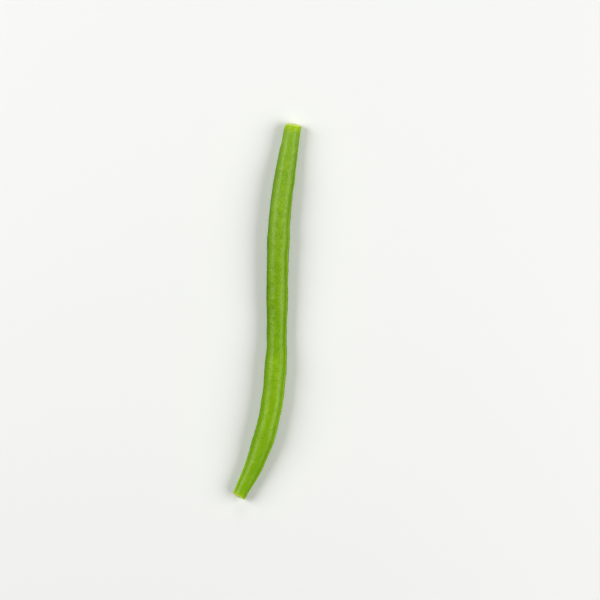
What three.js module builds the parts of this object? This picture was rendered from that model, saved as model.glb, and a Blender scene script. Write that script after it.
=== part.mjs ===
import * as THREE from 'three';

// A green bean pod, trimmed at both ends and lying on its side. Millimetres, +Z up.
// +Y points to its stem end, +X runs across it, and it lies on the surface z = 0.
// The origin is under the middle of the pod's bounding box.
// "along" is the distance from the stem end's cut, measured on the pod's centre line.
// "turn" is the angle round the pod from its front seam, in degrees.

// Driving dimensions

// The centre line from the stem end to the tail end, as x and y at nearly equal steps.
const CENTRE_LINE = [
  [5.35, 61.3], [2.9, 46.3], [0.95, 31.0], [0.2, 14.5], [0.0, -2.0],
  [-0.4, -18.5], [-2.45, -35.0], [-6.95, -49.8], [-12.7, -61.7],
];

// The pod's width at equal steps from end to end, before its seeds swell it.
const WIDTHS = [5.2, 6.75, 7.0, 6.9, 6.6, 6.85, 6.7, 4.4];
const THICKNESS_TO_WIDTH = 0.93;

// Each seed: where it sits, how much wider it makes the pod, and its half length.
const SEEDS = [
  { along: 18.5, swell: 0.2, reach: 4.5 },
  { along: 28.5, swell: 0.1, reach: 4.0 },
  { along: 38.3, swell: 0.55, reach: 4.2 },
  { along: 48.5, swell: 0.2, reach: 4.0 },
  { along: 58.0, swell: 0.35, reach: 4.5 },
  { along: 81.0, swell: 0.65, reach: 4.8 },
  { along: 91.5, swell: 0.35, reach: 4.0 },
  { along: 104.0, swell: 0.25, reach: 4.5 },
];
const SEED_THICKNESS_TO_SWELL = 1.15;

// The front seam is a thin cord between two fine grooves, and the back seam a lower one.
// SEAM_CLIMB is the front seam's angle above the pod's side at equal steps from end to end.
// Heights and depths are those where the pod is widest, and shrink with it.
const SEAM_CLIMB = [2, 18, 25, 25, 25, 26, 26, 26];
const FRONT_SEAM = { turn: 0, height: 0.14, halfWidth: 6.5, grooveTurn: 13, grooveDepth: 0.1 };
const BACK_SEAM = { turn: 180, height: 0.09, halfWidth: 5.5, grooveTurn: 12, grooveDepth: 0.06 };
const GROOVE_TO_CORD_WIDTH = 0.8;

// A shallow furrow in the upper flank of the tail half: its depths at equal steps from end to end.
const FURROW = { turn: 113, halfWidth: 6 };
const FURROW_DEPTHS = [0, 0, 0, 0, 0, 0.06, 0.14, 0.14];

// The three low points that it rests on, and how much of each is pressed flat.
const RESTS = [10, 62, 113];
const REST_REACH = 10;
const REST_FLATTENING = 0.11;
const ARCH = 0.5;

// The cuts: how far each slants across the pod and leans back at its top, in degrees.
const STEM_CUT = { slant: 1, lean: 11 };
const TAIL_CUT = { slant: 4, lean: -11 };
const CUT_REACH = 6;
const RIM_ROUNDING = 0.12;
const RIM_REACH = 0.45;

// The skin draws in round the stem end's cut, most of all on the side of the back seam.
const NECK = { turn: 178, halfWidth: 50, depth: 0.42, start: 0.45, end: 1.75 };

// The flesh in a cut sinks a little below the skin, round the slit of the seed cavity.
const FLESH_RINGS = [{ share: 0.88, depth: 0.04 }, { share: 0.6, depth: 0.18 }];
const SLIT = { length: 2.4, width: 0.9, mouthDepth: 0.25, floorShare: 0.6, floorDepth: 0.9, bottomDepth: 1.1 };

// Facets
const STATIONS = 96;
const RIM_STATIONS = [0, 0.15];
const SEAM_TURNS = [-19, -12.5, -6.5, 0, 6.5, 12.5, 19];
const UPPER_TURNS = [30, 41, 52, 63, 74, 85, 95, 102, 107.5, 113, 118.5, 124, 134, 144, 153];
const LOWER_TURNS = [207, 218, 229, 240, 251, 262, 273, 284, 295, 306, 318, 330];
const TURNS = [
  ...SEAM_TURNS,
  ...UPPER_TURNS,
  ...SEAM_TURNS.map((turn) => turn + BACK_SEAM.turn),
  ...LOWER_TURNS,
];

const centreLine = new THREE.CatmullRomCurve3(
  CENTRE_LINE.map(([x, y]) => new THREE.Vector3(x, y, 0)),
  false,
  'catmullrom',
);
centreLine.arcLengthDivisions = 1000;
const podLength = centreLine.getLength();

// A smooth function of the distance along the pod, through values at equal steps.
function smoothAlong(values) {
  const curve = new THREE.CatmullRomCurve3(
    values.map((value) => new THREE.Vector3(value, 0, 0)),
    false,
    'catmullrom',
  );
  return (along) => curve.getPoint(THREE.MathUtils.clamp(along / podLength, 0, 1)).x;
}

const baseWidth = smoothAlong(WIDTHS);
const seamClimb = smoothAlong(SEAM_CLIMB);
const furrowDepth = smoothAlong(FURROW_DEPTHS);

function bump(distance, reach) {
  return Math.exp(-((distance / reach) ** 2));
}

function seedSwell(along) {
  return SEEDS.reduce((sum, seed) => sum + seed.swell * bump(along - seed.along, seed.reach), 0);
}

// How much the skin draws in to round the edge of a cut.
function rimInset(along) {
  const fromCut = Math.min(along, podLength - along);
  return RIM_ROUNDING * Math.max(0, 1 - fromCut / RIM_REACH) ** 2;
}

function neckInset(along, turn) {
  const fade = 1 - THREE.MathUtils.smoothstep(along, NECK.start, NECK.end);
  return NECK.depth * fade * bump(angleBetween(turn, NECK.turn), NECK.halfWidth);
}

function angleBetween(turn, other) {
  return THREE.MathUtils.euclideanModulo(turn - other + 180, 360) - 180;
}

function seamRelief(seam, turn) {
  const away = Math.abs(angleBetween(turn, seam.turn));
  const cord = seam.height * bump(away, seam.halfWidth);
  const groove = seam.grooveDepth * bump(away - seam.grooveTurn, seam.halfWidth * GROOVE_TO_CORD_WIDTH);
  return cord - groove;
}

function furrowRelief(along, turn) {
  return -furrowDepth(along) * bump(angleBetween(turn, FURROW.turn), FURROW.halfWidth);
}

// The height of the centre line: the pod arches a little between its three low points.
function centreHeight(along) {
  const underside = (place) => ARCH - (SEED_THICKNESS_TO_SWELL * seedSwell(place)) / 2;
  const dips = RESTS.map((rest) => (underside(rest) + REST_FLATTENING) * bump(along - rest, REST_REACH));
  const dip = dips.reduce((sum, value) => sum + value, 0);
  return (THICKNESS_TO_WIDTH * baseWidth(along)) / 2 + ARCH - dip;
}

// A point of the skin, as its distance to the side of the centre line and above it.
function skinOffset(along, turn) {
  const angle = THREE.MathUtils.degToRad(seamClimb(along) + turn);
  const halfWidth = (baseWidth(along) + seedSwell(along)) / 2;
  const thickness = THICKNESS_TO_WIDTH * baseWidth(along) + SEED_THICKNESS_TO_SWELL * seedSwell(along);
  const halfThickness = thickness / 2;
  const oval =
    (halfWidth * halfThickness) / Math.hypot(halfThickness * Math.cos(angle), halfWidth * Math.sin(angle));
  const relief = seamRelief(FRONT_SEAM, turn) + seamRelief(BACK_SEAM, turn) + furrowRelief(along, turn);
  const radius = oval + (relief * baseWidth(along)) / Math.max(...WIDTHS) - rimInset(along) - neckInset(along, turn);
  return new THREE.Vector2(radius * Math.cos(angle), radius * Math.sin(angle));
}

// How far a cut's slant and lean move a point along the pod. It fades out away from the cut.
function cutShift(along, offset) {
  const shift = (cut, distance) => {
    const across = offset.x * Math.tan(THREE.MathUtils.degToRad(cut.slant));
    const back = offset.y * Math.tan(THREE.MathUtils.degToRad(cut.lean));
    return (across + back) * THREE.MathUtils.smoothstep(CUT_REACH - distance, 0, CUT_REACH);
  };
  return shift(STEM_CUT, along) + shift(TAIL_CUT, podLength - along);
}

// The place in space of an offset from the centre line, pushed "inward" along the pod.
function place(along, offset, inward = 0) {
  const share = THREE.MathUtils.clamp(along / podLength, 0, 1);
  const centre = centreLine.getPointAt(share);
  const forward = centreLine.getTangentAt(share);
  const side = new THREE.Vector3(-forward.y, forward.x, 0);
  const point = centre
    .addScaledVector(side, offset.x)
    .addScaledVector(forward, cutShift(along, offset) + inward);
  point.z = Math.max(0, centreHeight(along) + offset.y);
  return point;
}

function skinRing(along) {
  return TURNS.map((turn) => place(along, skinOffset(along, turn)));
}

function slitOffset(along, turn, share) {
  const angle = THREE.MathUtils.degToRad(seamClimb(along) + turn);
  const own = THREE.MathUtils.degToRad(turn);
  const halfLength = SLIT.length / 2;
  const halfWidth = SLIT.width / 2;
  const oval = (halfLength * halfWidth) / Math.hypot(halfWidth * Math.cos(own), halfLength * Math.sin(own));
  return new THREE.Vector2(Math.cos(angle), Math.sin(angle)).multiplyScalar(oval * share);
}

// The rings of a cut face from the skin inward. "inward" is 1 at the stem end and -1 at the tail.
function cutRings(along, inward) {
  const flesh = FLESH_RINGS.map(({ share, depth }) =>
    TURNS.map((turn) => place(along, skinOffset(along, turn).multiplyScalar(share), inward * depth)),
  );
  const slit = (share, depth) =>
    TURNS.map((turn) => place(along, slitOffset(along, turn, share), inward * depth));
  return [...flesh, slit(1, SLIT.mouthDepth), slit(SLIT.floorShare, SLIT.floorDepth)];
}

function slitBottom(along, inward) {
  return place(along, new THREE.Vector2(0, 0), inward * SLIT.bottomDepth);
}

// Joins a chain of rings into one closed body, with a point at each end.
function closedBody(rings, firstPoint, lastPoint) {
  const count = TURNS.length;
  const points = [...rings.flat(), firstPoint, lastPoint];
  const firstIndex = points.length - 2;
  const lastIndex = points.length - 1;
  const lastRing = (rings.length - 1) * count;
  const faces = [];
  for (let column = 0; column < count; column += 1) {
    const next = (column + 1) % count;
    faces.push(firstIndex, next, column);
    faces.push(lastRing + column, lastRing + next, lastIndex);
    for (let row = 0; row < lastRing; row += count) {
      faces.push(row + column, row + next, row + count + column);
      faces.push(row + next, row + count + next, row + count + column);
    }
  }
  const geometry = new THREE.BufferGeometry().setFromPoints(points);
  geometry.setIndex(faces);
  geometry.computeVertexNormals();
  return geometry;
}

function makePod() {
  const stations = [
    ...RIM_STATIONS,
    ...Array.from(
      { length: STATIONS + 1 },
      (_, index) => RIM_REACH + (index / STATIONS) * (podLength - 2 * RIM_REACH),
    ),
    ...RIM_STATIONS.map((distance) => podLength - distance).reverse(),
  ];
  const rings = [
    ...cutRings(0, 1).reverse(),
    ...stations.map(skinRing),
    ...cutRings(podLength, -1),
  ];
  const geometry = closedBody(rings, slitBottom(0, 1), slitBottom(podLength, -1));
  geometry.computeBoundingBox();
  const middle = geometry.boundingBox.getCenter(new THREE.Vector3());
  geometry.translate(-middle.x, -middle.y, 0);
  const freshPod = new THREE.MeshStandardMaterial({ color: 0x7aa51f, roughness: 0.42, metalness: 0 });
  const pod = new THREE.Mesh(geometry, freshPod);
  pod.name = 'pod';
  return pod;
}

const greenBean = new THREE.Group();
greenBean.add(makePod());

export default greenBean;
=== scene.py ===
import math

import bpy
import numpy as np
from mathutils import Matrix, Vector


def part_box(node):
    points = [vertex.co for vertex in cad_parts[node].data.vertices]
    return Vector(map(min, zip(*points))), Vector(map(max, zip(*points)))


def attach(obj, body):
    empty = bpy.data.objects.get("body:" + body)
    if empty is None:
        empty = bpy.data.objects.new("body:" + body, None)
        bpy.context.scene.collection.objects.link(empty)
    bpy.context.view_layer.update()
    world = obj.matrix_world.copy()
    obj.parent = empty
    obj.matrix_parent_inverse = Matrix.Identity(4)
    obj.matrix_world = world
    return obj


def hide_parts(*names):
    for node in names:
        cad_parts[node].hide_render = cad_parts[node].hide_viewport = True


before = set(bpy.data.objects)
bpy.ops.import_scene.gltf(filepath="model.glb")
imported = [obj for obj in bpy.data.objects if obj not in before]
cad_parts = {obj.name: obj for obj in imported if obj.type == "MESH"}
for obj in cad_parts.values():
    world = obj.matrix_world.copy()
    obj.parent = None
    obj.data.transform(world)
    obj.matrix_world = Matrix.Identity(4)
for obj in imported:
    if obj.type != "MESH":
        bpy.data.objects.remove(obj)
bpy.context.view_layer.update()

# A green bean pod, trimmed at both ends and lying on its side. Sizes are in millimetres
# until the mesh is made, and angles are in degrees. "along" is the distance from the stem
# end's cut on the centre line, and "turn" is the angle round the pod from its front seam.
MM = 0.001

# ---- The pod's form, as in the part's source ----

CENTRE_LINE = [
    (5.35, 61.3), (2.9, 46.3), (0.95, 31.0), (0.2, 14.5), (0.0, -2.0),
    (-0.4, -18.5), (-2.45, -35.0), (-6.95, -49.8), (-12.7, -61.7),
]
CENTRE_LINE_POINTS = 4001
WIDTHS = [5.2, 6.75, 7.0, 6.9, 6.6, 6.85, 6.7, 4.4]
THICKNESS_TO_WIDTH = 0.93
SEEDS = [  # along, swell, reach
    (18.5, 0.2, 4.5), (28.5, 0.1, 4.0), (38.3, 0.55, 4.2), (48.5, 0.2, 4.0),
    (58.0, 0.35, 4.5), (81.0, 0.65, 4.8), (91.5, 0.35, 4.0), (104.0, 0.25, 4.5),
]
SEED_THICKNESS_TO_SWELL = 1.15
# How far up the pod's side the front seam lies, at equal steps along it.
SEAM_CLIMB = [2, 18, 25, 25, 25, 26, 26, 26]
FRONT_SEAM = {
    "turn": 0, "height": 0.14, "half_width": 6.5, "groove_turn": 13, "groove_depth": 0.1,
}
BACK_SEAM = {
    "turn": 180, "height": 0.09, "half_width": 5.5, "groove_turn": 12, "groove_depth": 0.06,
}
GROOVE_TO_CORD_WIDTH = 0.8
FURROW_TURN = 113
FURROW_HALF_WIDTH = 6
FURROW_DEPTHS = [0, 0, 0, 0, 0, 0.06, 0.14, 0.14]
RESTS = [10, 62, 113]
REST_REACH = 10
REST_FLATTENING = 0.11
ARCH = 0.5
# How far each cut slants across the pod and leans back at its top.
STEM_CUT = {"slant": 1, "lean": 11}
TAIL_CUT = {"slant": 4, "lean": -11}
CUT_REACH = 6
RIM_ROUNDING = 0.12
RIM_REACH = 0.45
# The skin draws in round the stem end's cut, most of all on the side of the back seam.
NECK = {"turn": 178, "half_width": 50, "depth": 0.42, "start": 0.45, "end": 1.75}
SLIT_LENGTH = 2.4
SLIT_WIDTH = 0.9

# ---- What the fine surface adds ----

STATION_STEP = 0.145
RIM_STATIONS = [0, 0.04, 0.09, 0.16, 0.24, 0.34]
SEAM_STEP = 2.0
FLANK_STEP = 4.2
SEAM_ZONE = 22
# Fields of random waves: how high they are, how long along the pod, and how many times each
# goes round it.
DENTS = {"height": 0.03, "seed": 11, "count": 26, "lengths": (6, 16), "rounds": (1, 4)}
RUMPLES = {"height": 0.015, "seed": 12, "count": 60, "lengths": (1.4, 4), "rounds": (3, 11)}
FIBRES = {"height": 0.004, "seed": 13, "count": 40, "lengths": (18, 60), "rounds": (16, 34)}
SEAM_BEADS = {"height": 0.007, "seed": 14, "count": 24, "lengths": (0.8, 2.6), "rounds": (0, 0)}
RAGGED_CUT = {"height": 0.05, "seed": 15, "count": 14, "lengths": (1, 2), "rounds": (2, 9)}
RAGGED_CUT_REACH = 1.2
# How much of the front seam's beads and colours the back seam shows.
BACK_SEAM_SHARE = 0.6

# ---- Where the skin's tints lie ----

# How deep the green is, at equal steps along the pod.
DEEPENING = [0, 0.1, 0.05, 0.18, 0.27, 0.36, 0, 0.05, 0.35, 0.25]
# Distances from a cut at which its tint starts to fade and is gone.
STEM_CUT_TINT = (0.3, 3.2)
TAIL_CUT_TINT = (0.1, 1.5)
CUT_LIP = (0.05, 0.4)
# Shares of the pod's length at which something starts and is full.
TOWARD_TAIL = (0.45, 1.0)
TOWARD_STEM = (0.42, 0.0)
# Where the painted shade in the front seam's groove grows toward the tail, and how much stronger
# it gets.
GROOVE_SHADE_GROWS = (0.74, 0.9)
GROOVE_SHADE_GAIN = 0.8
# A painted highlight on the skin just past the fold, near the tail's cut.
PAINTED_FOLD_HIGHLIGHT = {"from": 0.86, "to": 0.97, "turn": FURROW_TURN + 24, "half_width": 16}
# Painted highlights: paler patches on a flank near the tail and in the middle of the pod.
PAINTED_TAIL_HIGHLIGHT = {"from": 0.79, "to": 0.88, "turn": 91, "half_width": 21}
PAINTED_MIDDLE_HIGHLIGHT = {"along": 57, "reach": 8, "turn": 41, "half_width": 20, "strength": 0.7}
# How squarely the skin faces up, from -1 to 1, where the painted shade on its sides and its
# wax's shine change. The painted shade is weaker near the stem end's cut and on the underside.
PAINTED_SHADE_FACING = (0.3, 0.82)
SHADE_LOST_NEAR_STEM = 0.8
SHADE_LOST_NEAR_STEM_REACH = 10
UNDERSIDE = (-0.4, 0.15)
SHADE_LOST_UNDERSIDE = 0.55
SHINING_WAX = (0.48, 0.93)


def smooth_steps(values, share):
    """Values at equal steps, joined smoothly. share runs from 0 to 1."""
    values = np.asarray(values, float)
    padded = np.concatenate([[2 * values[0] - values[1]], values, [2 * values[-1] - values[-2]]])
    place = np.clip(share, 0, 1) * (len(values) - 1)
    index = np.minimum(place.astype(int), len(values) - 2)
    t = place - index
    if values.ndim == 2:
        t = t[:, None]
    before, start, end, after = (padded[index + offset] for offset in range(4))
    leaving = (end - before) / 2
    arriving = (after - start) / 2
    cubic = 2 * start - 2 * end + leaving + arriving
    square = 3 * end - 3 * start - 2 * leaving - arriving
    return ((cubic * t + square) * t + leaving) * t + start


def measure_centre_line():
    """Closely spaced points of the centre line, their directions and their distance along it."""
    points = smooth_steps(CENTRE_LINE, np.linspace(0, 1, CENTRE_LINE_POINTS))
    steps = np.hypot(*np.diff(points, axis=0).T)
    distance = np.concatenate([[0], np.cumsum(steps)])
    direction = np.gradient(points, axis=0)
    direction /= np.hypot(*direction.T)[:, None]
    return points, direction, distance


line_points, line_direction, line_distance = measure_centre_line()
pod_length = line_distance[-1]


def along_pod(values, along):
    return smooth_steps(values, along / pod_length)


def follow_line(values, along):
    """The centre line's points or directions, at those distances along it."""
    return np.column_stack([np.interp(along, line_distance, column) for column in values.T])


def smoothstep(value, low, high):
    t = np.clip((value - low) / (high - low), 0, 1)
    return t * t * (3 - 2 * t)


def bump(distance, reach):
    return np.exp(-((distance / reach) ** 2))


def seed_swell(along):
    return sum(swell * bump(along - place, reach) for place, swell, reach in SEEDS)


def turn_between(turn, other):
    return (turn - other + 180) % 360 - 180


def cord(seam, turn):
    return bump(turn_between(turn, seam["turn"]), seam["half_width"])


def groove(seam, turn):
    away = np.abs(turn_between(turn, seam["turn"])) - seam["groove_turn"]
    return bump(away, seam["half_width"] * GROOVE_TO_CORD_WIDTH)


def both_cords(turn):
    return cord(FRONT_SEAM, turn) + BACK_SEAM_SHARE * cord(BACK_SEAM, turn)


def furrow_at(along, turn):
    depth = along_pod(FURROW_DEPTHS, along)
    return depth * bump(turn_between(turn, FURROW_TURN), FURROW_HALF_WIDTH)


def seam_relief(seam, turn):
    return seam["height"] * cord(seam, turn) - seam["groove_depth"] * groove(seam, turn)


def centre_height(along):
    """The pod arches a little between the three low points that it rests on."""
    height = THICKNESS_TO_WIDTH * along_pod(WIDTHS, along) / 2 + ARCH
    for rest in RESTS:
        underside = ARCH - SEED_THICKNESS_TO_SWELL * seed_swell(rest) / 2
        height = height - (underside + REST_FLATTENING) * bump(along - rest, REST_REACH)
    return height


def waves(along, turn, field):
    """A field's relief. Its waves go whole times round the pod, so they meet at the back."""
    random = np.random.default_rng(field["seed"])
    fewest, most = field["rounds"]
    relief = 0
    for _ in range(field["count"]):
        length = random.uniform(*field["lengths"]) * random.choice((-1, 1))
        times = random.integers(fewest, most + 1)
        phase = random.uniform(0, 2 * math.pi)
        relief = relief + np.cos(2 * math.pi * along / length + times * np.radians(turn) + phase)
    return field["height"] * (relief / math.sqrt(field["count"] / 2))


def skin_unevenness(along, turn):
    """What is too fine for the part's source: soft dents, rumples, fibres and seam beads."""
    relief = sum(waves(along, turn, field) for field in (DENTS, RUMPLES, FIBRES))
    return relief + waves(along, turn, SEAM_BEADS) * both_cords(turn)


def oval_radius(half_across, half_up, angle):
    return half_across * half_up / np.hypot(half_up * np.cos(angle), half_across * np.sin(angle))


def neck_inset(along, turn):
    fade = 1 - smoothstep(along, NECK["start"], NECK["end"])
    return NECK["depth"] * fade * bump(turn_between(turn, NECK["turn"]), NECK["half_width"])


def skin_radius(along, turn):
    base = along_pod(WIDTHS, along)
    swell = seed_swell(along)
    angle = np.radians(along_pod(SEAM_CLIMB, along) + turn)
    half_thickness = (THICKNESS_TO_WIDTH * base + SEED_THICKNESS_TO_SWELL * swell) / 2
    oval = oval_radius((base + swell) / 2, half_thickness, angle)
    relief = seam_relief(FRONT_SEAM, turn) + seam_relief(BACK_SEAM, turn) - furrow_at(along, turn)
    from_cut = np.minimum(along, pod_length - along)
    rim = RIM_ROUNDING * np.clip(1 - from_cut / RIM_REACH, 0, 1) ** 2
    inset = rim + neck_inset(along, turn)
    return oval + relief * base / max(WIDTHS) - inset + skin_unevenness(along, turn)


def cut_shift(along, across, up):
    """How far a cut's slant, lean and roughness move a point along the pod."""
    shift = 0
    turn = np.degrees(np.arctan2(up, across))
    ragged = waves(0 * turn, turn, RAGGED_CUT)
    for cut, distance in ((STEM_CUT, along), (TAIL_CUT, pod_length - along)):
        slant = math.tan(math.radians(cut["slant"]))
        lean = math.tan(math.radians(cut["lean"]))
        sheared = across * slant + up * lean
        shift = shift + sheared * smoothstep(CUT_REACH - distance, 0, CUT_REACH)
        shift = shift + ragged * smoothstep(RAGGED_CUT_REACH - distance, 0, RAGGED_CUT_REACH)
    return shift


def place_points(along, turn, radius, inward):
    """Points in space, from how far along, round and out they are. All are flat arrays."""
    angle = np.radians(along_pod(SEAM_CLIMB, along) + turn)
    across = radius * np.cos(angle)
    up = radius * np.sin(angle)
    centre = follow_line(line_points, along)
    forward = follow_line(line_direction, along)
    side = np.column_stack([-forward[:, 1], forward[:, 0]])
    ahead = cut_shift(along, across, up) + inward
    flat = centre + side * across[:, None] + forward * ahead[:, None]
    return np.column_stack([flat, np.maximum(centre_height(along) + up, 0)])


def turn_steps():
    """Angles round the pod, closer together on the seams."""
    def run(start, end, step):
        return np.linspace(start, end, round((end - start) / step), endpoint=False)
    return np.concatenate([
        run(-SEAM_ZONE, SEAM_ZONE, SEAM_STEP),
        run(SEAM_ZONE, 180 - SEAM_ZONE, FLANK_STEP),
        run(180 - SEAM_ZONE, 180 + SEAM_ZONE, SEAM_STEP),
        run(180 + SEAM_ZONE, 360 - SEAM_ZONE, FLANK_STEP),
    ])


# Rings of a cut face, from the skin to the bottom of the slit: how far each has closed in
# from the skin's outline to the slit's, how far the slit's is drawn in, and its depth.
CUT_RINGS = [
    (0.03, 1, -0.01), (0.07, 1, 0.0), (0.12, 1, 0.03), (0.2, 1, 0.05), (0.3, 1, 0.08),
    (0.42, 1, 0.12), (0.55, 1, 0.15), (0.68, 1, 0.17), (0.8, 1, 0.19), (0.91, 1, 0.21),
    (1, 1, 0.26), (1, 0.93, 0.38), (1, 0.85, 0.55), (1, 0.74, 0.75), (1, 0.6, 0.9),
    (1, 0.4, 1.0), (1, 0.2, 1.06),
]
SLIT_BOTTOM = 1.1


def cut_ring(end, turn, closing, slit_share, depth):
    along = np.full(len(turn), end)
    own = np.radians(turn)
    slit = oval_radius(SLIT_LENGTH / 2, SLIT_WIDTH / 2, own) * slit_share
    radius = (1 - closing) * skin_radius(along, turn) + closing * slit
    inward = depth if end == 0 else -depth
    return along, radius, np.full(len(turn), inward)


def pod_grid():
    """Rows of (along, turn, radius, inward, flesh) from the stem end's slit to the tail end's.
    flesh is -1 on the skin and runs from 0 at the skin to 1 at the slit's bottom on a cut."""
    turn = turn_steps()
    rim = np.array(RIM_STATIONS)
    count = round((pod_length - 2 * RIM_REACH) / STATION_STEP)
    body = np.linspace(RIM_REACH, pod_length - RIM_REACH, count)
    stations = np.concatenate([rim, body, pod_length - rim[::-1]])
    rows = []

    def add_cut_rows(end, rings):
        for index, (closing, slit_share, depth) in rings:
            along, radius, inward = cut_ring(end, turn, closing, slit_share, depth)
            flesh = np.full(len(turn), (index + 1) / (len(CUT_RINGS) + 1))
            rows.append((along, turn, radius, inward, flesh))

    numbered = list(enumerate(CUT_RINGS))
    add_cut_rows(0, reversed(numbered))
    for station in stations:
        along = np.full(len(turn), station)
        rows.append((along, turn, skin_radius(along, turn), 0 * turn, 0 * turn - 1))
    add_cut_rows(pod_length, numbered)
    return np.array(rows)


# The flat map: the skin in four lengths, two by two, and the two cuts in a band above them.
MAP_LENGTHS = 4
MAP_MARGIN = 0.01
MAP_SKIN_BAND = 0.92
MAP_CUT_SPOT = 0.04


def flat_map(grid):
    """Where every corner of every face lies on the flat map, in the order of pod_faces."""
    row_count, _, column_count = grid.shape
    cut_rows = len(CUT_RINGS)
    row, column = np.meshgrid(np.arange(row_count - 1), np.arange(column_count), indexing="ij")
    corner_row = row[..., None] + np.array([0, 0, 1, 1])
    corner_column = column[..., None] + np.array([0, 1, 1, 0])

    length_rows = math.ceil((row_count - 1 - 2 * cut_rows) / MAP_LENGTHS)
    length = np.clip((row[..., None] - cut_rows) // length_rows, 0, MAP_LENGTHS - 1)
    round_share = np.append((grid[0, 1] - grid[0, 1, 0]) / 360, 1)[corner_column]
    length_share = (corner_row - cut_rows - length * length_rows) / length_rows
    inside = 1 - 2 * MAP_MARGIN
    skin = np.stack([
        (length % 2 + MAP_MARGIN + inside * round_share) / 2,
        (length // 2 + MAP_MARGIN + inside * length_share) / 2 * MAP_SKIN_BAND,
    ], -1)

    def cut_places(corner_row, corner_column):
        turn = np.radians(grid[corner_row, 1, corner_column % column_count])
        out = grid[corner_row, 2, corner_column % column_count] / max(WIDTHS) * 2
        out = MAP_CUT_SPOT * inside * out
        spot = np.where(corner_row < row_count / 2, 1, 3) * MAP_CUT_SPOT
        return np.stack([spot + out * np.cos(turn), 1 - MAP_CUT_SPOT + out * np.sin(turn)], -1)

    on_cut = (row < cut_rows) | (row >= row_count - 1 - cut_rows)
    quads = np.where(on_cut[..., None, None], cut_places(corner_row, corner_column), skin)
    columns = np.arange(column_count)
    ends = []
    for ring, order in ((0, (1, 0)), (row_count - 1, (0, 1))):
        sides = [cut_places(np.full(column_count, ring), columns + step) for step in order]
        tip = np.full_like(sides[0], 1 - MAP_CUT_SPOT)
        tip[:, 0] = MAP_CUT_SPOT if ring == 0 else 3 * MAP_CUT_SPOT
        ends.append(np.stack([tip] + sides if ring == 0 else sides + [tip], 1))
    return np.concatenate([part.reshape(-1, 2) for part in (quads, *ends)])


def pod_faces(row_count, column_count):
    """Faces between the rows, and a fan round the tip at each end of them."""
    index = np.arange(row_count * column_count).reshape(row_count, column_count)
    here = index[:-1]
    ahead = index[1:]
    quads = np.stack([here, np.roll(here, -1, 1), np.roll(ahead, -1, 1), ahead], 2)
    first_tip = index.size
    last_tip = index.size + 1
    first_fan = [(first_tip, b, a) for a, b in zip(index[0], np.roll(index[0], -1))]
    last_fan = [(a, b, last_tip) for a, b in zip(index[-1], np.roll(index[-1], -1))]
    return quads.reshape(-1, 4).tolist() + first_fan + last_fan


def face_slots(row_count, column_count):
    """The material of each of those faces: 0 is the skin and 1 is the cut flesh."""
    cut_rows = len(CUT_RINGS)
    row = np.repeat(np.arange(row_count - 1), column_count)
    on_cut = (row < cut_rows) | (row >= row_count - 1 - cut_rows)
    fans = np.ones(2 * column_count, bool)
    return np.concatenate([on_cut, fans]).astype(np.int32)


def flank_patch(share, turn, patch):
    fade = smoothstep(share, patch["from"], patch["to"])
    return fade * bump(turn_between(turn, patch["turn"]), patch["half_width"])


def skin_values(along, turn):
    """How much of each tint the skin takes, mostly from 0 to 1."""
    share = along / pod_length
    near_stem_cut = 1 - smoothstep(along, *STEM_CUT_TINT)
    near_tail_cut = 1 - smoothstep(pod_length - along, *TAIL_CUT_TINT)
    # Painted shade in the seams' grooves, stronger toward the tail.
    front_groove_shade = 1 + GROOVE_SHADE_GAIN * smoothstep(share, *GROOVE_SHADE_GROWS)
    back_groove_shade = BACK_SEAM_SHARE * groove(BACK_SEAM, turn)

    # Painted highlight on a flank in the middle of the pod.
    middle = PAINTED_MIDDLE_HIGHLIGHT
    painted_middle_highlight = middle["strength"] * bump(along - middle["along"], middle["reach"])
    painted_middle_highlight = painted_middle_highlight * bump(turn_between(turn, middle["turn"]), middle["half_width"])

    facing_up = np.sin(np.radians(along_pod(SEAM_CLIMB, along) + turn))
    # Painted shade: a darker green where the skin faces less up, weaker near the stem end's cut
    # and underneath.
    painted_side_shade = 1 - smoothstep(facing_up, *PAINTED_SHADE_FACING)
    painted_side_shade *= 1 - SHADE_LOST_NEAR_STEM * bump(along, SHADE_LOST_NEAR_STEM_REACH)
    painted_side_shade *= 1 - SHADE_LOST_UNDERSIDE * (1 - smoothstep(facing_up, *UNDERSIDE))
    return {
        "near_cut": near_stem_cut + near_tail_cut,
        "cut_lip": 1 - smoothstep(np.minimum(along, pod_length - along), *CUT_LIP),
        "toward_tail": np.interp(share, TOWARD_TAIL, (0, 1)),
        "toward_stem": np.interp(share, TOWARD_STEM[::-1], (1, 0)),
        "seam_cord": both_cords(turn),
        "painted_groove_shade": front_groove_shade * groove(FRONT_SEAM, turn) + back_groove_shade,
        # Painted shade in the fold near the tail.
        "painted_fold_shade": furrow_at(along, turn) / max(FURROW_DEPTHS),
        # Painted highlight beside the fold near the tail.
        "painted_fold_highlight": flank_patch(share, turn, PAINTED_FOLD_HIGHLIGHT),
        # Painted highlights on the flanks.
        "painted_flank_highlight": flank_patch(share, turn, PAINTED_TAIL_HIGHLIGHT) + painted_middle_highlight,
        "deepening": along_pod(DEEPENING, along),
        "painted_side_shade": painted_side_shade,
        "wax": smoothstep(facing_up, *SHINING_WAX),
    }


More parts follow.
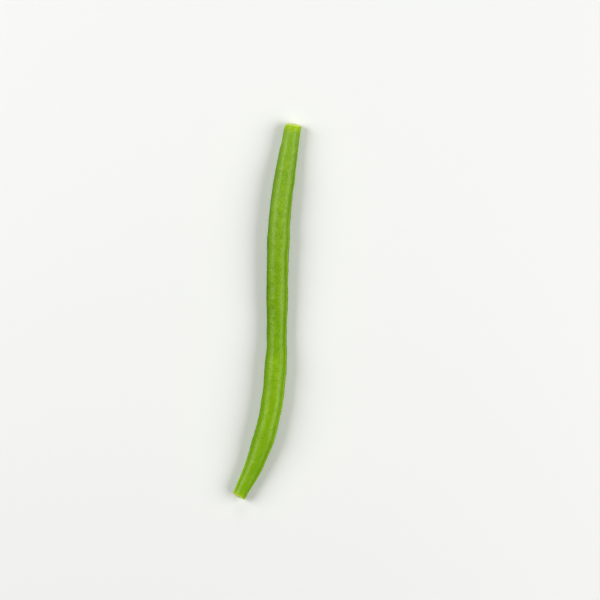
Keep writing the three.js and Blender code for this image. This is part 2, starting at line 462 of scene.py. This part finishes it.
def make_pod():
    """The pod as one mesh, moved so that its outline is centred on the part's own. Returns it
    and how far it was moved."""
    grid = pod_grid()
    row_count, _, column_count = grid.shape
    along, turn, radius, inward, flesh = (grid[:, index].ravel() for index in range(5))
    along = np.append(along, [0, pod_length])
    turn = np.append(turn, [0, 0])
    radius = np.append(radius, [0, 0])
    inward = np.append(inward, [SLIT_BOTTOM, -SLIT_BOTTOM])
    flesh = np.append(flesh, [1, 1])
    points = place_points(along, turn, radius, inward)

    cad_low, cad_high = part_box("pod")
    cad_middle = np.array((cad_low + cad_high) / 2)[:2] / MM
    shift = cad_middle - (points[:, :2].min(0) + points[:, :2].max(0)) / 2
    points[:, :2] += shift

    mesh = bpy.data.meshes.new("bean_pod")
    mesh.from_pydata(points * MM, [], pod_faces(row_count, column_count))
    mesh.polygons.foreach_set("use_smooth", np.ones(len(mesh.polygons), bool))
    mesh.polygons.foreach_set("material_index", face_slots(row_count, column_count))
    mesh.uv_layers.new(name="OFBake").data.foreach_set("uv", flat_map(grid).ravel())

    # The pod's points as if it were straight, so that patterns follow its curve.
    angle = np.radians(turn)
    straight = np.column_stack([radius * np.cos(angle), radius * np.sin(angle), along + inward])
    layer = mesh.attributes.new("straight", "FLOAT_VECTOR", "POINT")
    layer.data.foreach_set("vector", straight.ravel())
    values = skin_values(along, turn)
    values["flesh"] = np.clip(flesh, 0, 1)
    for name, amounts in values.items():
        mesh.attributes.new(name, "FLOAT", "POINT").data.foreach_set("value", amounts)
    mesh.update()
    pod = bpy.data.objects.new("bean_pod", mesh)
    bpy.context.scene.collection.objects.link(pod)
    return pod, shift


# ---- Materials ----

def linear(hex_colour):
    """An sRGB hex colour as linear red, green, blue and alpha."""
    parts = [int(hex_colour[index:index + 2], 16) / 255 for index in (1, 3, 5)]
    return [p / 12.92 if p <= 0.04045 else ((p + 0.055) / 1.055) ** 2.4 for p in parts] + [1]


def add_node(material, kind, settings=None, values=None, links=None):
    """Adds one node, sets its properties and sockets, and links sources to its sockets."""
    tree = material.node_tree
    node = tree.nodes.new(kind)
    for name, value in (settings or {}).items():
        setattr(node, name, value)
    for socket, value in (values or {}).items():
        node.inputs[socket].default_value = value
    for socket, source in (links or {}).items():
        tree.links.new(source, node.inputs[socket])
    return node


def new_material(name):
    material = bpy.data.materials.new(name)
    material.use_nodes = True
    material.node_tree.nodes.clear()
    return material


# A mix of colours: its factor is socket 0, the colours are 6 and 7, and the mix is output 2.
MIX_COLOUR = {"data_type": "RGBA"}

# The skin's patterns: the size of their grain round the pod and along it in mm, how many
# finer copies are added, and the part of their range that is spread from 0 to 1. The real
# grain of the short hairs is about a tenth of a millimetre, too fine to show, so the speckle
# and the hair grain are drawn a few times as coarse.
SKIN_PATTERNS = {
    "patches": {"grain": (3.0, 14.0), "detail": 2, "spread": (0.3, 0.7)},
    "fibres": {"grain": (0.45, 9.0), "detail": 2, "spread": (0.35, 0.75)},
    "blotches": {"grain": (2.2, 2.8), "detail": 2, "spread": (0.35, 0.7)},
    "speckle": {"grain": (0.7, 0.42), "detail": 2, "spread": (0.4, 0.75)},
    "hair_grain": {"grain": (0.85, 0.38), "detail": 0, "spread": (0.25, 0.75)},
}
PATTERN_ROUGHNESS = 0.6
DEEP_GREEN = "#628B00"
FRESH_GREEN = "#73A000"
# The tints over those two greens, from the lowest: where each lies, its colour and how
# strong it is.
SKIN_TINTS = [
    ("fibres", "#82AC08", 0.35),
    ("blotches", "#8FB41E", 0.6),
    # The speckle is partly the short hairs' pale colour and partly painted glints.
    ("speckle", "#A8CC3C", 0.32),
    ("deepening", "#4A7C00", 1),
    # Painted shade on the sides, where the skin faces less up.
    ("painted_side_shade", "#3C6C00", 0.8),
    ("toward_tail", "#7DAE0A", 0.6),
    ("toward_stem", "#86AC5A", 0.18),
    ("near_cut", "#9ABC02", 0.85),
    # Painted shade in the seams' grooves.
    ("painted_groove_shade", "#568400", 0.35),
    # Painted shade in the fold near the tail.
    ("painted_fold_shade", "#588C00", 0.5),
    # Painted highlight beside the fold near the tail.
    ("painted_fold_highlight", "#9CC80A", 0.6),
    # Painted highlights on the flanks.
    ("painted_flank_highlight", "#97B739", 0.38),
    ("seam_cord", "#96BE1C", 0.6),
    ("cut_lip", "#D4E26A", 0.75),
]
SKIN_ROUGHNESS = (0.27, 0.22)  # between the speckles and on them
SKIN_SPECULAR = (0.05, 0.5)  # on the sides and on the waxy top
HAIR_HEIGHT = 0.046
HAIR_STRENGTH = 0.8
CUTICLE = {
    # Plant wax has an IOR of about 1.45. The fine hairs weaken its shine, as a lower one does.
    "IOR": 1.264,
    "Specular Tint": linear("#FFFDDD"),
    # Light spreads up to half a millimetre under the skin, and green light the farthest.
    "Subsurface Weight": 0.25,
    "Subsurface Radius": (0.6, 1.0, 0.15),
    "Subsurface Scale": 0.5 * MM,
}


def make_skin():
    """Fresh pod skin: a thin waxy cuticle over green flesh. It is satin, a little clear at
    the edges, and finely speckled, partly with its short hairs' pale colour and partly with
    painted glints."""
    skin = new_material("waxy_bean_skin")
    straight = add_node(skin, "ShaderNodeAttribute", {"attribute_name": "straight"})
    amounts = {}
    for name, pattern in SKIN_PATTERNS.items():
        across, along = pattern["grain"]
        low, high = pattern["spread"]
        stretched = add_node(
            skin, "ShaderNodeMapping", {"vector_type": "POINT"},
            {"Scale": (1 / across, 1 / across, 1 / along)},
            {"Vector": straight.outputs["Vector"]},
        )
        noise = add_node(
            skin, "ShaderNodeTexNoise", {},
            {"Scale": 1, "Detail": pattern["detail"], "Roughness": PATTERN_ROUGHNESS},
            {"Vector": stretched.outputs["Vector"]},
        )
        spread = add_node(
            skin, "ShaderNodeMapRange", {}, {"From Min": low, "From Max": high},
            {"Value": noise.outputs["Fac"]},
        )
        amounts[name] = spread.outputs["Result"]
    for name in ["wax"] + [where for where, _, _ in SKIN_TINTS if where not in amounts]:
        place = add_node(skin, "ShaderNodeAttribute", {"attribute_name": name})
        amounts[name] = place.outputs["Fac"]

    colour = add_node(
        skin, "ShaderNodeMix", MIX_COLOUR, {6: linear(DEEP_GREEN), 7: linear(FRESH_GREEN)},
        {0: amounts["patches"]},
    )
    for where, tint, strength in SKIN_TINTS:
        amount = add_node(
            skin, "ShaderNodeMath", {"operation": "MULTIPLY"}, {1: strength}, {0: amounts[where]}
        )
        colour = add_node(
            skin, "ShaderNodeMix", MIX_COLOUR, {7: linear(tint)},
            {0: amount.outputs["Value"], 6: colour.outputs[2]},
        )
    roughness = add_node(
        skin, "ShaderNodeMapRange", {}, {"To Min": SKIN_ROUGHNESS[0], "To Max": SKIN_ROUGHNESS[1]},
        {"Value": amounts["speckle"]},
    )
    specular = add_node(
        skin, "ShaderNodeMapRange", {}, {"To Min": SKIN_SPECULAR[0], "To Max": SKIN_SPECULAR[1]},
        {"Value": amounts["wax"]},
    )
    raised = add_node(
        skin, "ShaderNodeBump", {}, {"Strength": HAIR_STRENGTH, "Distance": HAIR_HEIGHT * MM},
        {"Height": amounts["hair_grain"]},
    )
    shader = add_node(
        skin, "ShaderNodeBsdfPrincipled", {"subsurface_method": "RANDOM_WALK"}, CUTICLE,
        {
            "Base Color": colour.outputs[2],
            "Roughness": roughness.outputs["Result"],
            "Specular IOR Level": specular.outputs["Result"],
            "Normal": raised.outputs["Normal"],
        },
    )
    add_node(skin, "ShaderNodeOutputMaterial", {}, {}, {"Surface": shader.outputs["BSDF"]})
    return skin


# The cut flesh's colours, from 0 at the skin to 1 at the bottom of the slit.
FLESH_COLOURS = [
    (0.0, "#BAD43E"), (0.06, "#CEE23A"), (0.2, "#D0E44C"), (0.4, "#C6DC44"),
    (0.58, "#B6D23C"), (0.64, "#98BC34"), (0.9, "#64901C"),
]
PALE_CELLS = "#D6E88C"
PALE_CELLS_STRENGTH = 0.35
PALE_CELLS_SPREAD = (0.3, 0.7)
# The real cells are about a tenth of a millimetre, so they are drawn twice as coarse to show.
CELLS_PER_MM = 4.5
CELL_DETAIL = 3
CELL_HEIGHT = 0.05
CELL_STRENGTH = 0.7
WET_FLESH = {
    # Cell water has an IOR of 1.33. It lies in the cells' hollows, so its shine is weaker.
    "IOR": 1.22,
    "Roughness": 0.32,
    "Subsurface Weight": 0.4,
    "Subsurface Radius": (0.8, 1.0, 0.3),
    "Subsurface Scale": 0.6 * MM,
}


def make_flesh():
    """Freshly cut flesh: pale, wet and a little clear, with a darker ring just inside the
    skin and a greener lining round the seed slit."""
    flesh = new_material("cut_bean_flesh")
    depth = add_node(flesh, "ShaderNodeAttribute", {"attribute_name": "flesh"})
    straight = add_node(flesh, "ShaderNodeAttribute", {"attribute_name": "straight"})
    ramp = add_node(flesh, "ShaderNodeValToRGB", {}, {}, {"Fac": depth.outputs["Fac"]})
    stops = ramp.color_ramp.elements
    stops.remove(stops[1])
    stops[0].position, stops[0].color = FLESH_COLOURS[0][0], linear(FLESH_COLOURS[0][1])
    for position, colour in FLESH_COLOURS[1:]:
        stops.new(position).color = linear(colour)
    cells = add_node(
        flesh, "ShaderNodeTexNoise", {}, {"Scale": CELLS_PER_MM, "Detail": CELL_DETAIL},
        {"Vector": straight.outputs["Vector"]},
    )
    low, high = PALE_CELLS_SPREAD
    paleness = add_node(
        flesh, "ShaderNodeMapRange", {},
        {"From Min": low, "From Max": high, "To Max": PALE_CELLS_STRENGTH},
        {"Value": cells.outputs["Fac"]},
    )
    mottled = add_node(
        flesh, "ShaderNodeMix", MIX_COLOUR, {7: linear(PALE_CELLS)},
        {0: paleness.outputs["Result"], 6: ramp.outputs["Color"]},
    )
    raised = add_node(
        flesh, "ShaderNodeBump", {}, {"Strength": CELL_STRENGTH, "Distance": CELL_HEIGHT * MM},
        {"Height": cells.outputs["Fac"]},
    )
    shader = add_node(
        flesh, "ShaderNodeBsdfPrincipled", {"subsurface_method": "RANDOM_WALK"}, WET_FLESH,
        {"Base Color": mottled.outputs[2], "Normal": raised.outputs["Normal"]},
    )
    add_node(flesh, "ShaderNodeOutputMaterial", {}, {}, {"Surface": shader.outputs["BSDF"]})
    return flesh


# ---- Stage, light and camera ----

FLOOR_SIDE = 4.0
FLOOR_WHITE = "#E6E7E4"
SOFTBOXES = {  # azimuth and elevation in degrees, width and height in metres, watts
    "left_softbox": (169, 39, (0.52, 0.73), 6.5),
    "right_softbox": (0, 36, (0.8, 0.66), 7.6),
    "right_front_softbox": (328, 39, (0.3, 0.55), 1.8),
    "left_back_softbox": (148, 40, (0.2, 0.6), 2.0),
    "stem_end_softbox": (90, 30, (0.5, 0.4), 1.7),
}
LIGHT_DISTANCE = 1.0
ROOM_WHITE = "#F6F5F1"
ROOM_STRENGTH = 0.09
VIEW_CENTRE = (7.6, 3.3)
VIEW_WIDTH = 198
LENS_MM = 120
SENSOR_MM = 36
CLIP_METRES = (0.01, 20)


def make_floor():
    """A wide sheet of matt white paper, which scatters the light evenly and hardly shines."""
    half = FLOOR_SIDE / 2
    mesh = bpy.data.meshes.new("floor")
    corners = [(-half, -half, 0), (half, -half, 0), (half, half, 0), (-half, half, 0)]
    mesh.from_pydata(corners, [], [(0, 1, 2, 3)])
    floor = bpy.data.objects.new("floor", mesh)
    bpy.context.scene.collection.objects.link(floor)
    paper = new_material("matt_white_paper")
    shader = add_node(
        paper, "ShaderNodeBsdfPrincipled", {},
        {"Base Color": linear(FLOOR_WHITE), "Roughness": 0.9, "Specular IOR Level": 0.1},
    )
    add_node(paper, "ShaderNodeOutputMaterial", {}, {}, {"Surface": shader.outputs["BSDF"]})
    mesh.materials.append(paper)


def add_area_light(name, azimuth, elevation, size, power):
    light = bpy.data.lights.new(name, "AREA")
    light.shape = "RECTANGLE"
    light.size, light.size_y = size
    light.energy = power
    lamp = bpy.data.objects.new(name, light)
    turn = math.radians(azimuth)
    climb = math.radians(elevation)
    level = math.cos(climb)
    away = Vector((math.cos(turn) * level, math.sin(turn) * level, math.sin(climb)))
    lamp.location = away * LIGHT_DISTANCE
    lamp.rotation_euler = away.to_track_quat("Z", "Y").to_euler()
    bpy.context.scene.collection.objects.link(lamp)


def light_scene():
    """Softboxes at both sides, which draw a soft highlight down each flank, narrow ones that
    carry it on toward the tail and the stem end, and a weak one that lights the stem end's
    cut."""
    for name, (azimuth, elevation, size, power) in SOFTBOXES.items():
        add_area_light(name, azimuth, elevation, size, power)
    world = bpy.data.worlds.new("pale_room")
    world.use_nodes = True
    background = world.node_tree.nodes["Background"]
    background.inputs["Color"].default_value = linear(ROOM_WHITE)
    background.inputs["Strength"].default_value = ROOM_STRENGTH
    bpy.context.scene.world = world
    bpy.context.scene.view_settings.view_transform = "Standard"


def add_camera(shift):
    """A camera that looks straight down, with +Y at the top of the picture."""
    camera = bpy.data.cameras.new("camera")
    camera.lens = LENS_MM
    camera.sensor_width = SENSOR_MM
    camera.clip_start, camera.clip_end = CLIP_METRES
    viewer = bpy.data.objects.new("camera", camera)
    distance = VIEW_WIDTH * LENS_MM / SENSOR_MM
    mid_height = max(WIDTHS) / 2
    place = (VIEW_CENTRE[0] + shift[0], VIEW_CENTRE[1] + shift[1], mid_height + distance)
    viewer.location = Vector(place) * MM
    bpy.context.scene.collection.objects.link(viewer)
    bpy.context.scene.camera = viewer


pod, pod_shift = make_pod()
pod.data.materials.append(make_skin())
pod.data.materials.append(make_flesh())
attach(pod, "root")
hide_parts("pod")
make_floor()
light_scene()
add_camera(pod_shift)
